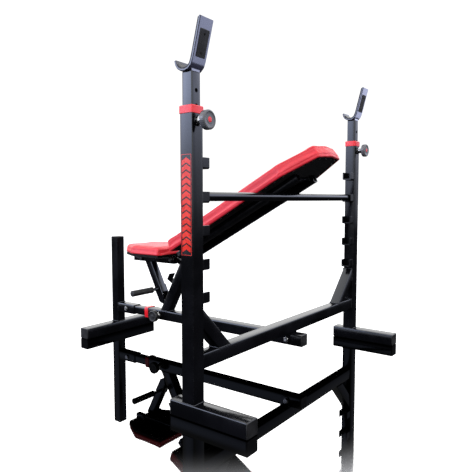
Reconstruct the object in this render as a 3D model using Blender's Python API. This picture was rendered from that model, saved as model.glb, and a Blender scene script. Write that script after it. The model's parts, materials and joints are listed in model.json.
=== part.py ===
"""Olympic bench press: telescopic rack, adjustable backrest, tilting seat and telescopic front leg.
Metres, +Z up. +Y is the rack end, -Y the foot end, +X the near side. Origin: floor, middle of the box."""
import math
import bpy
from mathutils import Vector

for old in list(bpy.data.objects):
    bpy.data.objects.remove(old, do_unlink=True)

# ---- driving dimensions -------------------------------------------------------------------------
GAP = 0.0003                       # clearance between pieces that touch
Y_SHIFT = 0.41525                  # moves the rack from its own axis to the middle of the box
RACK_X = 0.582                     # upright centre from the mid-plane
UP_W, UP_WALL = 0.050, 0.003       # outer upright
IN_W, IN_WALL = 0.0400, 0.0025     # telescopic inner upright
UP_TOP, COLLAR_TOP = 0.934, 0.958
IN_LOW, IN_TOP = 0.650, 1.055
HOLE_Z, HOLE_STEP, HOLES = 1.002, 0.045, 5
HOOK_W, HOOK_T, LINER_T = 0.060, 0.008, 0.004
KNOB_Z = 0.912
FOOT_W, FOOT_H = 0.055, 0.050
FOOT_Y0, FOOT_Y1 = -0.075, 0.226   # rear feet, between the outer faces of their caps
CAP_T = 0.004
SADDLE_TOP_C, SADDLE_STEP, SADDLES = 0.790, 0.104, 5
SADDLE_H, SADDLE_X, SADDLE_Y, SADDLE_T = 0.035, 0.033, 0.044, 0.005
BAR_R = 0.015
CROSS_Y0, CROSS_Y1, CROSS_Z0, CROSS_Z1 = -0.026, 0.019, 0.1490, 0.1980
BRACE_W, BRACE_TOP = 0.045, 0.345
BEAM_W, BEAM_WALL = 0.047, 0.0035  # outer main beam
BEAM_Y0, BEAM_Y1 = -0.788, 0.070
INB_W = 0.0385                     # inner beam
INB_Y1 = -0.560
SOCKET_W, SOCKET_Y1 = 0.0465, -0.892
POST_W, POST_Y, POST_TOP = 0.047, -1.033, 0.490
FF_W, FF_X = 0.055, 0.2225         # front foot width and half length
LEAN = math.radians(28.5)          # seat post, from vertical
SPOST_W, SPOST_Y = 0.046, -0.6775  # its width and its centre where it meets the beam
TILT = math.radians(28.8)          # backrest, from horizontal
RAIL_X0, RAIL_X1, RAIL_H = 0.050, 0.080, 0.030
RAIL_S0, RAIL_S1, PIVOT_S, PIVOT_N = -0.603, 0.090, -0.585, 0.015
PAD_HALF, PAD_N0, PAD_N1 = 0.142, 0.0390, 0.0820
SEAT_PIV = (-0.600, 0.402)
STRUT_PIV = (-0.797, 0.395)
SEAT_RX0, SEAT_RX1, SEAT_RZ0, SEAT_RZ1 = 0.030, 0.055, 0.384, 0.4155
SEAT_PAD_Z0, SEAT_PAD_Z1, SEAT_HALF = 0.4270, 0.4700, 0.146
STRUT_W = 0.038
PIN_R = 0.006
BEAM_ZC = CROSS_Z0 - GAP - BEAM_W / 2
BAR_Z = SADDLE_TOP_C - SADDLE_STEP - SADDLE_H / 2 + SADDLE_T + BAR_R + GAP

parts = bpy.data.collections.new("bench_press")
cutters = bpy.data.collections.new("cutters")
for c in (parts, cutters):
    bpy.context.scene.collection.children.link(c)


def material(name, colour, rough, metal=0.0):
    m = bpy.data.materials.new(name)
    m.use_nodes = True
    p = m.node_tree.nodes["Principled BSDF"]
    p.inputs["Base Color"].default_value = (*colour, 1)
    p.inputs["Roughness"].default_value = rough
    p.inputs["Metallic"].default_value = metal
    return m


BLACK = material("black_powder_coat", (0.012, 0.012, 0.015), 0.25)
RED_VINYL = material("red_vinyl", (0.72, 0.02, 0.04), 0.42)
RED_PLASTIC = material("red_plastic", (0.65, 0.01, 0.03), 0.35)
DARK = material("black_plastic", (0.02, 0.02, 0.022), 0.45)
RUBBER = material("black_rubber", (0.03, 0.03, 0.03), 0.8)
STEEL = material("zinc_steel", (0.6, 0.6, 0.62), 0.3, 1.0)
BOARD = material("black_board", (0.02, 0.018, 0.018), 0.7)


def rrect(w, h, r, n=2):
    """Rounded rectangle, anticlockwise, w along u and h along v."""
    pts = []
    for cu, cv, a0 in ((1, 1, 0), (-1, 1, 90), (-1, -1, 180), (1, -1, 270)):
        for i in range(n + 1):
            a = math.radians(a0 + 90 * i / n)
            pts.append((cu * (w / 2 - r) + r * math.cos(a), cv * (h / 2 - r) + r * math.sin(a)))
    return pts


def circle(r, n=24):
    return [(r * math.cos(2 * math.pi * i / n), r * math.sin(2 * math.pi * i / n)) for i in range(n)]


def skin(name, loops, mat, ring=False, cutter=False):
    """One closed mesh through loops of equal length: capped at both ends, or closed on itself."""
    n = len(loops[0])
    verts = [Vector(p) for loop in loops for p in loop]
    faces = []
    count = len(loops)
    for k in range(count if ring else count - 1):
        a, b = k * n, ((k + 1) % count) * n
        faces += [(a + i, a + (i + 1) % n, b + (i + 1) % n, b + i) for i in range(n)]
    if not ring:
        faces += [tuple(reversed(range(n))), tuple(range((count - 1) * n, count * n))]
    mesh = bpy.data.meshes.new(name)
    mesh.from_pydata([v + Vector((0, Y_SHIFT, 0)) for v in verts], [], faces)
    mesh.update()
    volume = sum(
        mesh.vertices[p.vertices[0]].co.dot(
            mesh.vertices[p.vertices[i]].co.cross(mesh.vertices[p.vertices[i + 1]].co))
        for p in mesh.polygons for i in range(1, len(p.vertices) - 1))
    if volume < 0:
        mesh.flip_normals()
    mesh.materials.append(mat)
    obj = bpy.data.objects.new(name, mesh)
    (cutters if cutter else parts).objects.link(obj)
    if cutter:
        obj.hide_render = True
        obj.display_type = "WIRE"
    return obj


def stations(section, at, direction, side, depths):
    """The section (a list of u, v) placed at each depth along direction; side is its u axis."""
    d, u = Vector(direction).normalized(), Vector(side).normalized()
    v = d.cross(u)
    return [[Vector(at) + u * p + v * q + d * depth for p, q in section] for depth in depths]


def on_plane(loop, direction, point, normal):
    """Slides each point of the loop along direction onto a plane: a mitred end."""
    d, nrm = Vector(direction).normalized(), Vector(normal)
    return [p + d * ((Vector(point) - p).dot(nrm) / d.dot(nrm)) for p in loop]


def tube(name, at, direction, side, w, h, wall, cut0, cut1, mat, r=0.004):
    """Hollow rectangular tube; cut0 and cut1 are the (point, normal) of its two end planes."""
    loops = []
    for shrink, cuts in ((0, (cut0, cut1)), (wall, (cut1, cut0))):
        section = rrect(w - 2 * shrink, h - 2 * shrink, max(r - shrink, 0.0012))
        base = stations(section, at, direction, side, (0,))[0]
        loops += [on_plane(base, direction, *c) for c in cuts]
    return skin(name, loops, mat, ring=True)


def straight_tube(name, p0, p1, side, w, h, wall, mat, r=0.004):
    d = Vector(p1) - Vector(p0)
    return tube(name, p0, d, side, w, h, wall, (p0, d), (p1, d), mat, r)


def block(name, lo, hi, mat, r=0.0015, cutter=False, n=1):
    c = [(a + b) / 2 for a, b in zip(lo, hi)]
    s = rrect(hi[0] - lo[0], hi[1] - lo[1], r, n)
    return skin(name, stations(s, (c[0], c[1], lo[2]), (0, 0, 1), (1, 0, 0), (0, hi[2] - lo[2])), mat,
                cutter=cutter)


def turned(name, at, axis, side, profile, mat, n=24, cutter=False, ring=False):
    """A turned piece: profile is a list of (depth, radius) along the axis."""
    loops = [stations(circle(r, n), at, axis, side, (d,))[0] for d, r in profile]
    return skin(name, loops, mat, ring=ring, cutter=cutter)


def prism(name, outline_yz, x0, x1, mat, cutter=False):
    """A plate: the outline in the YZ plane, extruded from x0 to x1."""
    return skin(name, [[(x, y, z) for y, z in outline_yz] for x in (x0, x1)], mat, cutter=cutter)


def combine(obj, other, operation):
    m = obj.modifiers.new(operation.lower(), "BOOLEAN")
    m.operation, m.object, m.solver = operation, other, "EXACT"
    other.hide_render = True
    other.display_type = "WIRE"
    for c in list(other.users_collection):
        c.objects.unlink(other)
    cutters.objects.link(other)


def bore(obj, name, at, axis, side, r, half, n=16):
    c = turned(name, at, axis, side, [(-half, r), (half, r)], STEEL, n, cutter=True)
    combine(obj, c, "DIFFERENCE")


def bolt(name, x_left, x_right, y, z, r, head_r, head_t, mat=STEEL):
    """A cross bolt along X with a dome head on the +X side and a nut on the other."""
    t = head_t
    profile = [(x_left - 0.8 * t, head_r * 0.8), (x_left - 0.1 * t, head_r * 0.95), (x_left, head_r * 0.95),
               (x_left, r), (x_right, r), (x_right, head_r), (x_right + 0.5 * t, head_r * 0.9),
               (x_right + t, head_r * 0.45)]
    return turned(name, (0, y, z), (1, 0, 0), (0, 1, 0), profile, mat, 18)


SIDES = (("near", 1), ("far", -1))


# ---- rack ---------------------------------------------------------------------------------------
def make_upright(tag, sx):
    x, z0 = sx * RACK_X, FOOT_H + GAP
    up = straight_tube(f"upright_{tag}", (x, 0, z0), (x, 0, UP_TOP), (1, 0, 0), UP_W, UP_W, UP_WALL, BLACK)
    housing = turned(f"housing_{tag}", (x, 0.0235, KNOB_Z), (0, 1, 0), (1, 0, 0),
                     [(0, 0.0135), (0.009, 0.0135), (0.009, 0.0105), (0.026, 0.0105)], BLACK, 18)
    combine(up, housing, "UNION")
    bore(up, f"housing_bore_{tag}", (x, 0.035, KNOB_Z), (0, 1, 0), (1, 0, 0), 0.0068, 0.018)
    skirt, lip = UP_W - 2 * UP_WALL - 2 * GAP, IN_W + 2 * GAP
    loops = [stations(rrect(w, w, r), (x, 0, z), (0, 0, 1), (1, 0, 0), (0,))[0] for w, r, z in (
        (skirt, 0.0014, UP_TOP - 0.012), (skirt, 0.0014, UP_TOP + GAP), (0.0545, 0.005, UP_TOP + GAP),
        (0.0545, 0.005, COLLAR_TOP - 0.002), (0.0505, 0.004, COLLAR_TOP), (lip, 0.0042, COLLAR_TOP),
        (lip, 0.0042, UP_TOP - 0.012))]
    skin(f"collar_{tag}", loops, RED_PLASTIC, ring=True)
    for i in range(SADDLES):
        make_saddle(f"saddle_{tag}_{i + 1}", sx, SADDLE_TOP_C - i * SADDLE_STEP)


def make_saddle(name, sx, zc):
    y, h, t = SADDLE_Y / 2, SADDLE_H / 2, SADDLE_T
    outline = [(-y, h), (-y, -h + 0.004), (-y + 0.004, -h), (y - 0.004, -h), (y, -h + 0.004), (y, h),
               (y - t, h), (y - t, -h + t), (-y + t, -h + t), (-y + t, h)]
    x0 = sx * (RACK_X - UP_W / 2 - GAP)
    xs = sorted((x0, x0 - sx * SADDLE_X))
    prism(name, [(a, b + zc) for a, b in outline], xs[0], xs[1], BLACK)


HOOK_LINE = [(-0.0375, 1.0905), (-0.0340, 1.0775), (-0.0265, 1.0675), (-0.0150, 1.0610), (-0.0010, 1.0597),
             (0.0120, 1.0630), (0.0225, 1.0725), (0.0290, 1.0870), (0.0360, 1.1120), (0.0475, 1.1560),
             (0.0590, 1.1990), (0.0600, 1.2030)]


def strip(name, x, line, offset, w, t, mat, r=0.0015, trim=0):
    """A flat strip of width w along X that follows the line (y, z), shifted sideways by offset."""
    loops = []
    for i, (y, z) in enumerate(line):
        if i < trim or i >= len(line) - trim:
            continue
        a, b = line[max(i - 1, 0)], line[min(i + 1, len(line) - 1)]
        tangent = Vector((0, b[0] - a[0], b[1] - a[1])).normalized()
        side = Vector((1, 0, 0))
        normal = tangent.cross(side)
        at = Vector((x, y, z)) - normal * offset
        loops.append([at + side * u + normal * v for u, v in rrect(w, t, r, 1)])
    return skin(name, loops, mat)


def make_inner(tag, sx):
    x = sx * RACK_X
    inner = straight_tube(f"inner_upright_{tag}", (x, 0, IN_LOW), (x, 0, IN_TOP), (1, 0, 0), IN_W, IN_W,
                          IN_WALL, BLACK)
    for i in range(HOLES):
        bore(inner, f"hole_{tag}_{i}", (x, 0, HOLE_Z - i * HOLE_STEP), (0, 1, 0), (1, 0, 0), 0.0065, 0.03, 12)
    hook = strip(f"hook_{tag}", x, HOOK_LINE, 0, HOOK_W, HOOK_T, BLACK)
    foot = [(-0.0185, IN_TOP + GAP), (0.0185, IN_TOP + GAP), (0.0185, 1.0675), (0.0120, 1.0625), (0, 1.0600),
            (-0.0120, 1.0610), (-0.0185, 1.0635)]
    base = prism(f"hook_base_{tag}", foot, x - 0.0185, x + 0.0185, BLACK)
    combine(hook, base, "UNION")
    off = HOOK_T / 2 + GAP + LINER_T / 2
    strip(f"hook_liner_{tag}", x, HOOK_LINE, off, HOOK_W - 0.003, LINER_T, DARK, 0.001, 1)
    turned(f"knob_{tag}", (x, 0, KNOB_Z), (0, 1, 0), (1, 0, 0),
           [(0.0206, 0.0045), (0.0225, 0.0062), (0.0480, 0.0062), (0.0505, 0.0062), (0.0505, 0.0130),
            (0.0530, 0.0270), (0.0550, 0.0295), (0.0690, 0.0295), (0.0720, 0.0275), (0.0730, 0.0200)], DARK)


def make_foot(tag, sx):
    x, h = sx * RACK_X, FOOT_H / 2
    straight_tube(f"rear_foot_{tag}", (x, FOOT_Y0 + CAP_T + GAP, h), (x, FOOT_Y1 - CAP_T - GAP, h), (1, 0, 0),
                  FOOT_W, FOOT_H, 0.003, BLACK)
    for end, y, d in (("front", FOOT_Y0, 1), ("rear", FOOT_Y1, -1)):
        end_cap(f"foot_cap_{tag}_{end}", (x, y, h), (0, d, 0), (1, 0, 0), FOOT_W, FOOT_H, 0.003)


def end_cap(name, at, inward, side, w, h, wall):
    """A plug: a flange that covers the tube's end and a boss that sits inside it."""
    v = 2 * (wall + GAP)
    loops = []
    for depth, a, b, r in ((0, w - 0.004, h - 0.004, 0.003), (0.0015, w, h, 0.004), (CAP_T, w, h, 0.004),
                           (CAP_T, w - v, h - v, 0.0012), (0.020, w - v - 0.001, h - v - 0.001, 0.0012)):
        loops += stations(rrect(a, b, r), at, inward, side, (depth,))
    skin(name, loops, DARK)


def make_cross():
    yc, zc = (CROSS_Y0 + CROSS_Y1) / 2, (CROSS_Z0 + CROSS_Z1) / 2
    end = RACK_X - UP_W / 2 - GAP
    straight_tube("cross_beam", (-end, yc, zc), (end, yc, zc), (0, 1, 0), CROSS_Y1 - CROSS_Y0,
                  CROSS_Z1 - CROSS_Z0, 0.003, BLACK)
    for tag, sx in SIDES:
        d = Vector((-sx, 0, -1)).normalized()
        half = BRACE_W / 2 * math.sqrt(2)
        top = Vector((sx * end, yc, BRACE_TOP - half))
        tube(f"brace_{tag}", top, d, (0, 1, 0), BRACE_W, BRACE_W, 0.003, (top, (sx, 0, 0)),
             ((0, 0, CROSS_Z1 + GAP), (0, 0, 1)), BLACK)


def make_bar():
    end = RACK_X - UP_W / 2 - 0.004
    turned("support_bar", (0, 0, BAR_Z), (1, 0, 0), (0, 1, 0),
           [(-end + 0.003, BAR_R), (end - 0.003, BAR_R), (end - 0.003, BAR_R - 0.0025),
            (-end + 0.003, BAR_R - 0.0025)], BLACK, 24, ring=True)
    for tag, sx in SIDES:
        turned(f"bar_plug_{tag}", (sx * end, 0, BAR_Z), (-sx, 0, 0), (0, 1, 0),
               [(0, BAR_R - 0.002), (0.001, BAR_R - 0.0003), (0.0027, BAR_R - 0.0003), (0.0027, BAR_R - 0.0029),
                (0.018, BAR_R - 0.0033)], DARK, 24)


# ---- beams, front post and feet -----------------------------------------------------------------
def make_beams():
    z = BEAM_ZC
    beam = straight_tube("main_beam", (0, BEAM_Y0, z), (0, BEAM_Y1 - CAP_T, z), (1, 0, 0), BEAM_W, BEAM_W,
                         BEAM_WALL, BLACK)
    hx, hy, hz = BEAM_W / 2 - 0.001, -0.712, z
    housing = turned("beam_housing", (hx, hy, hz), (1, 0, 0), (0, 1, 0),
                     [(0, 0.0135), (0.008, 0.0135), (0.008, 0.0105), (0.024, 0.0105)], BLACK, 18)
    combine(beam, housing, "UNION")
    bore(beam, "beam_housing_bore", (hx, hy, hz), (1, 0, 0), (0, 1, 0), 0.0068, 0.028)
    bore(beam, "beam_bolt_bore", (0, 0.004, z), (1, 0, 0), (0, 1, 0), 0.0054, 0.06)
    turned("beam_knob", (0, hy, hz), (1, 0, 0), (0, 1, 0),
           [(0.0200, 0.0045), (0.0220, 0.0062), (0.0485, 0.0062), (0.0485, 0.0130), (0.0510, 0.0250),
            (0.0530, 0.0275), (0.0665, 0.0275), (0.0695, 0.0255), (0.0705, 0.0190)], DARK)
    end_cap("beam_cap", (0, BEAM_Y1, z), (0, -1, 0), (1, 0, 0), BEAM_W, BEAM_W, BEAM_WALL)
    hanger = prism("beam_hanger", [(-0.024, 0.150), (-0.024, z - 0.006), (-0.010, z - 0.017), (0.010, z - 0.017),
                                   (0.017, z - 0.006), (0.017, 0.150)], BEAM_W / 2 + GAP, BEAM_W / 2 + 0.005, BLACK)
    combine(bpy.data.objects["cross_beam"], hanger, "UNION")
    hanger2 = prism("beam_hanger_far", [(-0.024, 0.150), (-0.024, z - 0.006), (-0.010, z - 0.017),
                                        (0.010, z - 0.017), (0.017, z - 0.006), (0.017, 0.150)],
                    -BEAM_W / 2 - 0.005, -BEAM_W / 2 - GAP, BLACK)
    combine(bpy.data.objects["cross_beam"], hanger2, "UNION")
    bore(bpy.data.objects["cross_beam"], "hanger_bore", (0, 0.004, z), (1, 0, 0), (0, 1, 0), 0.0054, 0.06)
    bx = BEAM_W / 2 + 0.005 + GAP
    bolt("beam_bolt", -bx, bx, 0.004, z, 0.005, 0.0105, 0.007)
    skirt, lip = BEAM_W - 2 * BEAM_WALL - 2 * GAP, INB_W + 2 * GAP
    loops = []
    for w, r, y in ((skirt, 0.0012, BEAM_Y0 + 0.020), (skirt, 0.0012, BEAM_Y0 - GAP),
                    (0.0515, 0.005, BEAM_Y0 - GAP), (0.0515, 0.005, BEAM_Y0 - 0.022),
                    (0.0475, 0.004, BEAM_Y0 - 0.024), (lip, 0.0042, BEAM_Y0 - 0.024),
                    (lip, 0.0042, BEAM_Y0 + 0.020)):
        loops += stations(rrect(w, w, r), (0, y, z), (0, 1, 0), (1, 0, 0), (0,))
    skin("beam_collar", loops, RED_PLASTIC, ring=True)


def make_front():
    z, rear = BEAM_ZC, POST_Y + POST_W / 2
    front = rear + GAP
    post = straight_tube("front_post", (0, POST_Y, FOOT_H + GAP), (0, POST_Y, POST_TOP - CAP_T - GAP), (1, 0, 0),
                         POST_W, POST_W, 0.003, BLACK)
    socket = straight_tube("socket", (0, rear - 0.002, z), (0, SOCKET_Y1, z), (1, 0, 0), SOCKET_W, SOCKET_W,
                           0.0025, BLACK)
    combine(post, socket, "UNION")
    bore(post, "socket_bore", (0, -0.946, z), (1, 0, 0), (0, 1, 0), 0.0054, 0.05)
    end_cap("post_cap", (0, POST_Y, POST_TOP), (0, 0, -1), (1, 0, 0), POST_W, POST_W, 0.003)
    inner = straight_tube("inner_beam", (0, front, z), (0, INB_Y1, z), (1, 0, 0), INB_W, INB_W, 0.003, BLACK)
    bore(inner, "inner_bore", (0, -0.946, z), (1, 0, 0), (0, 1, 0), 0.0054, 0.05)
    bx = SOCKET_W / 2 + GAP
    bolt("socket_bolt", -bx, bx, -0.946, z, 0.005, 0.0105, 0.007)
    h = FOOT_H / 2
    straight_tube("front_foot", (-FF_X + CAP_T + GAP, POST_Y + 0.004, h), (FF_X - CAP_T - GAP, POST_Y + 0.004, h),
                  (0, 1, 0), FF_W, FOOT_H, 0.003, BLACK)
    for tag, sx in SIDES:
        end_cap(f"front_cap_{tag}", (sx * FF_X, POST_Y + 0.004, h), (-sx, 0, 0), (0, 1, 0), FF_W, FOOT_H, 0.003)


# ---- seat post and its fittings -----------------------------------------------------------------
A = Vector((0, math.sin(LEAN), math.cos(LEAN)))      # up along the seat post
F = Vector((0, -math.cos(LEAN), math.sin(LEAN)))     # out of its front face
POST_BASE = Vector((0, SPOST_Y, CROSS_Z0))
S = Vector((0, math.cos(TILT), math.sin(TILT)))      # up along the backrest
N = Vector((0, -math.sin(TILT), math.cos(TILT)))     # out of its cushion
BACK0 = Vector((0, 0, BAR_Z + (BAR_R + GAP) / math.cos(TILT)))
BACK_PIV = BACK0 + S * PIVOT_S + N * PIVOT_N


def post_point(t, n, x=0.0):
    """A point t up along the seat post from its foot, n in front of its front face."""
    return POST_BASE + A * t + F * (SPOST_W / 2 + n) + Vector((x, 0, 0))


def make_seat_post():
    top = POST_BASE + A * ((BACK_PIV - POST_BASE).dot(A) - 0.011)
    post = tube("seat_post", POST_BASE, A, (1, 0, 0), SPOST_W, SPOST_W, 0.003,
                ((0, 0, CROSS_Z0), (0, 0, 1)), (top, A), BLACK)
    sleeve = turned("back_sleeve", BACK_PIV, (1, 0, 0), (0, 1, 0), [(-0.0496, 0.0135), (0.0496, 0.0135)], BLACK, 20)
    combine(post, sleeve, "UNION")
    py, pz = SEAT_PIV
    piv = Vector((0, py, pz))
    reach = (piv - POST_BASE).dot(F) - SPOST_W / 2
    lug_loops = stations(rrect(0.040, 0.026, 0.002, 1), piv, -F, (1, 0, 0), (0.004, reach + 0.002))
    combine(post, skin("seat_lug", lug_loops, BLACK), "UNION")
    combine(post, turned("seat_sleeve", piv, (1, 0, 0), (0, 1, 0), [(-0.0296, 0.013), (0.0296, 0.013)], BLACK, 20),
            "UNION")
    for i, t in enumerate((0.0215, 0.1415)):
        pocket = [(t, -0.001), (t, 0.037), (t + 0.0315, 0.037), (t + 0.0315, 0.032), (t + 0.005, 0.032),
                  (t + 0.005, -0.001)]
        loops = [[post_point(a, n, x) for a, n in pocket] for x in (-0.0175, 0.0175)]
        combine(post, skin(f"pocket_{i}", loops, BLACK), "UNION")
    bore(post, "back_bore", BACK_PIV, (1, 0, 0), (0, 1, 0), PIN_R + 0.0004, 0.07)
    bore(post, "seat_bore", piv, (1, 0, 0), (0, 1, 0), PIN_R + 0.0004, 0.07)
    bolt("backrest_pin", -RAIL_X1 - GAP, RAIL_X1 + GAP, BACK_PIV.y, BACK_PIV.z, PIN_R, 0.011, 0.007)
    bolt("seat_pin", -SEAT_RX1 - GAP, SEAT_RX1 + GAP, py, pz, PIN_R, 0.0105, 0.007)


def make_seat():
    y0, y1 = -0.848, -0.583
    zc, h = (SEAT_RZ0 + SEAT_RZ1) / 2, SEAT_RZ1 - SEAT_RZ0
    rails = []
    for tag, sx in SIDES:
        x = sx * (SEAT_RX0 + SEAT_RX1) / 2
        rails.append(straight_tube(f"seat_rail_{tag}", (x, y0, zc), (x, y1, zc), (1, 0, 0),
                                   SEAT_RX1 - SEAT_RX0, h, 0.002, BLACK, 0.003))
    frame = rails[0]
    frame.name = "seat_frame"
    combine(frame, rails[1], "UNION")
    for i, (a, b) in enumerate(((y0 + 0.002, y0 + 0.022), (-0.700, -0.676))):
        combine(frame, block(f"seat_tie_{i}", (-0.031, a, SEAT_RZ1 - 0.006), (0.031, b, SEAT_RZ1 - 0.001), BLACK),
                "UNION")
    for i, (y, z) in enumerate((SEAT_PIV, STRUT_PIV)):
        bore(frame, f"seat_frame_bore_{i}", (0, y, z), (1, 0, 0), (0, 1, 0), PIN_R + 0.0004, 0.08)
    outline = seat_outline(0.0)
    slab("seat_board", seat_outline(0.006), SEAT_RZ1 + GAP, SEAT_PAD_Z0 - GAP, BOARD)
    cushion("seat_pad", outline, SEAT_PAD_Z0, SEAT_PAD_Z1, lambda x, y, z: Vector((x, y, z)))


def seat_outline(inset):
    """Seat seen from above: straight sides, tapered front corners and round rear ones."""
    w, y0, y1 = SEAT_HALF - inset, -0.868 + inset, -0.605 - inset
    half = [(0.084, y0), (0.093, y0 + 0.004), (w - 0.006, -0.778), (w, -0.764), (w, y1 + 0.012),
            (w - 0.0035, y1 + 0.0035), (w - 0.012, y1)]
    half = [(min(x, w), y) for x, y in half]
    return half + [(-x, y) for x, y in reversed(half)]


def slab(name, outline, z0, z1, mat, place=lambda x, y, z: Vector((x, y, z))):
    return skin(name, [[place(x, y, z) for x, y in outline] for z in (z0, z1)], mat)


def cushion(name, outline, z0, z1, place):
    """A pad with a rounded top edge: the outline shrinks towards its middle over the last levels."""
    cx = sum(x for x, _ in outline) / len(outline)
    cy = (min(y for _, y in outline) + max(y for _, y in outline)) / 2
    half_x = max(abs(x) for x, _ in outline)
    half_y = max(abs(y - cy) for _, y in outline)
    loops = []
    for z, inset in ((z0, 0.002), (z0 + 0.004, 0), (z1 - 0.012, 0), (z1 - 0.004, 0.005), (z1, 0.016)):
        loops.append([place(cx + (x - cx) * (1 - inset / half_x), cy + (y - cy) * (1 - inset / half_y), z)
                      for x, y in outline])
    return skin(name, loops, RED_VINYL)


def make_backrest():
    rails = []
    for tag, sx in SIDES:
        at = BACK0 + N * (RAIL_H / 2) + Vector((sx * (RAIL_X0 + RAIL_X1) / 2, 0, 0))
        rails.append(straight_tube(f"back_rail_{tag}", at + S * RAIL_S0, at + S * RAIL_S1, (1, 0, 0),
                                   RAIL_X1 - RAIL_X0, RAIL_H, 0.002, BLACK, 0.003))
    frame = rails[0]
    frame.name = "backrest_frame"
    combine(frame, rails[1], "UNION")
    for i, s in enumerate((-0.400, -0.120, 0.062)):
        at = BACK0 + S * s + N * (RAIL_H / 2 + 0.006)
        tie = skin(f"back_tie_{i}", stations(rrect(0.025, 0.014, 0.002, 1), at, (1, 0, 0), S, (-0.051, 0.051)),
                   BLACK)
        combine(frame, tie, "UNION")
    bore(frame, "back_frame_bore", BACK_PIV, (1, 0, 0), (0, 1, 0), PIN_R + 0.0004, 0.10)

    def place(x, s, n):
        return BACK0 + S * s + N * n + Vector((x, 0, 0))

    slab("backrest_board", back_outline(0.006), RAIL_H + GAP, PAD_N0 - GAP, BOARD, place)
    cushion("backrest_pad", back_outline(0.0), PAD_N0, PAD_N1, place)


def back_outline(inset):
    """Backrest seen square on: round lower corners, straight sides, tapered and domed head end."""
    w, s0 = PAD_HALF - inset, -0.585 + inset
    half = [(w - 0.014, s0), (w - 0.004, s0 + 0.004), (w, s0 + 0.014), (w, 0.050),
            (w - 0.010, 0.082), (0.090 - inset, 0.196 - inset), (0.080 - inset, 0.212 - inset),
            (0.044, 0.2205 - inset), (0.014, 0.2225 - inset)]
    return half + [(-x, s) for x, s in reversed(half)]


def make_strut():
    top = Vector((0, *STRUT_PIV))
    rod = post_point(0.0335, 0.0125)
    d = (rod - top).normalized()
    side = d.cross(Vector((1, 0, 0))).normalized()
    stop = rod - d * 0.040
    strut = tube("seat_strut", top, d, (1, 0, 0), STRUT_W, STRUT_W, 0.0025, (top + d * 0.010, d), (stop, d), BLACK)
    combine(strut, turned("strut_sleeve", top, (1, 0, 0), (0, 1, 0), [(-0.0292, 0.0125), (0.0292, 0.0125)], BLACK,
                          20), "UNION")
    bore(strut, "strut_bore", top, (1, 0, 0), (0, 1, 0), PIN_R + 0.0004, 0.08)
    w = STRUT_W / 2
    for tag, sx in SIDES:
        outline = [rod - d * 0.075 + side * w, rod - d * 0.075 - side * w, rod - d * 0.012 - side * 0.017,
                   rod + d * 0.004 - side * 0.0095, rod + d * 0.0105 - side * 0.002, rod + d * 0.0085 + side * 0.0075,
                   rod - d * 0.004 + side * 0.017]
        loops = [[p + Vector((x, 0, 0)) for p in outline] for x in sorted((sx * (w - 0.001), sx * (w + 0.0035)))]
        combine(strut, skin(f"strut_cheek_{tag}", loops, BLACK), "UNION")
    combine(strut, turned("strut_rod", rod, (1, 0, 0), (0, 1, 0), [(-w - 0.002, 0.006), (w + 0.002, 0.006)], BLACK,
                          16), "UNION")
    grip_at = Vector((0, -0.7165, 0.2510))
    rod_x = turned("handle_rod", grip_at, (1, 0, 0), (0, 1, 0), [(0.0, 0.007), (0.181, 0.007)], BLACK, 16)
    combine(strut, rod_x, "UNION")
    turned("handle_grip", grip_at, (1, 0, 0), (0, 1, 0),
           [(0.062, 0.0110), (0.064, 0.0135), (0.180, 0.0145), (0.186, 0.0135), (0.189, 0.0095),
            (0.1813, 0.0073), (0.062, 0.0073)][:5] + [(0.189, 0.002), (0.1813, 0.002), (0.1813, 0.0073), (0.062, 0.0073)],
           RUBBER, 20, ring=True)
    bolt("strut_pin", -SEAT_RX1 - GAP, SEAT_RX1 + GAP, STRUT_PIV[0], STRUT_PIV[1], PIN_R, 0.0105, 0.007)


for tag_name, sign in SIDES:
    make_upright(tag_name, sign)
    make_inner(tag_name, sign)
    make_foot(tag_name, sign)
make_cross()
make_bar()
make_beams()
make_front()
make_seat_post()
make_seat()
make_backrest()
make_strut()
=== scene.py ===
"""Looks of the olympic bench press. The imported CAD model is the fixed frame, and every piece rides on it.

Metres, +Z up, the CAD's own frame: +Y is the rack end, -Y the foot end, +X the side with the handle.
"""
import json
import math
import random

import bmesh
import bpy
from mathutils import Matrix, Vector
from mathutils.bvhtree import BVHTree
from mathutils.kdtree import KDTree

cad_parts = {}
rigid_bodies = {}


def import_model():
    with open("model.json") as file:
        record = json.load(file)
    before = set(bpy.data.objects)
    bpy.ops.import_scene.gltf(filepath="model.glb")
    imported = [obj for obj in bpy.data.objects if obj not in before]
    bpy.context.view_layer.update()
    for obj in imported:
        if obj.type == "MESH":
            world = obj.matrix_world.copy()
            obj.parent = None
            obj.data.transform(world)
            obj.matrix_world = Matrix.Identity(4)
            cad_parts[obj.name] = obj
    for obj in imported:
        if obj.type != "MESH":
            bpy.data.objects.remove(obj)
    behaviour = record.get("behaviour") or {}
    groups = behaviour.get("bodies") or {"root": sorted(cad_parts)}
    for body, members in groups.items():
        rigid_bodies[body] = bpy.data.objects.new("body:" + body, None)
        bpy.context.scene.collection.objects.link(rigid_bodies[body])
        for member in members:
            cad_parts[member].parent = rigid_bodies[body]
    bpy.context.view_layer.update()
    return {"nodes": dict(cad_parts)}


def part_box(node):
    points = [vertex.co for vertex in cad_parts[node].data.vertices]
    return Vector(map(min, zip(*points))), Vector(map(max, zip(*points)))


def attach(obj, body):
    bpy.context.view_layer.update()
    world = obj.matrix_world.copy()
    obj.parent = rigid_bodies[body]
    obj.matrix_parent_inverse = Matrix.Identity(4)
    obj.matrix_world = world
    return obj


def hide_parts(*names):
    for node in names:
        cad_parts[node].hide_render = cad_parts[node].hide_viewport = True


for old in list(bpy.data.objects):
    bpy.data.objects.remove(old, do_unlink=True)

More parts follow.
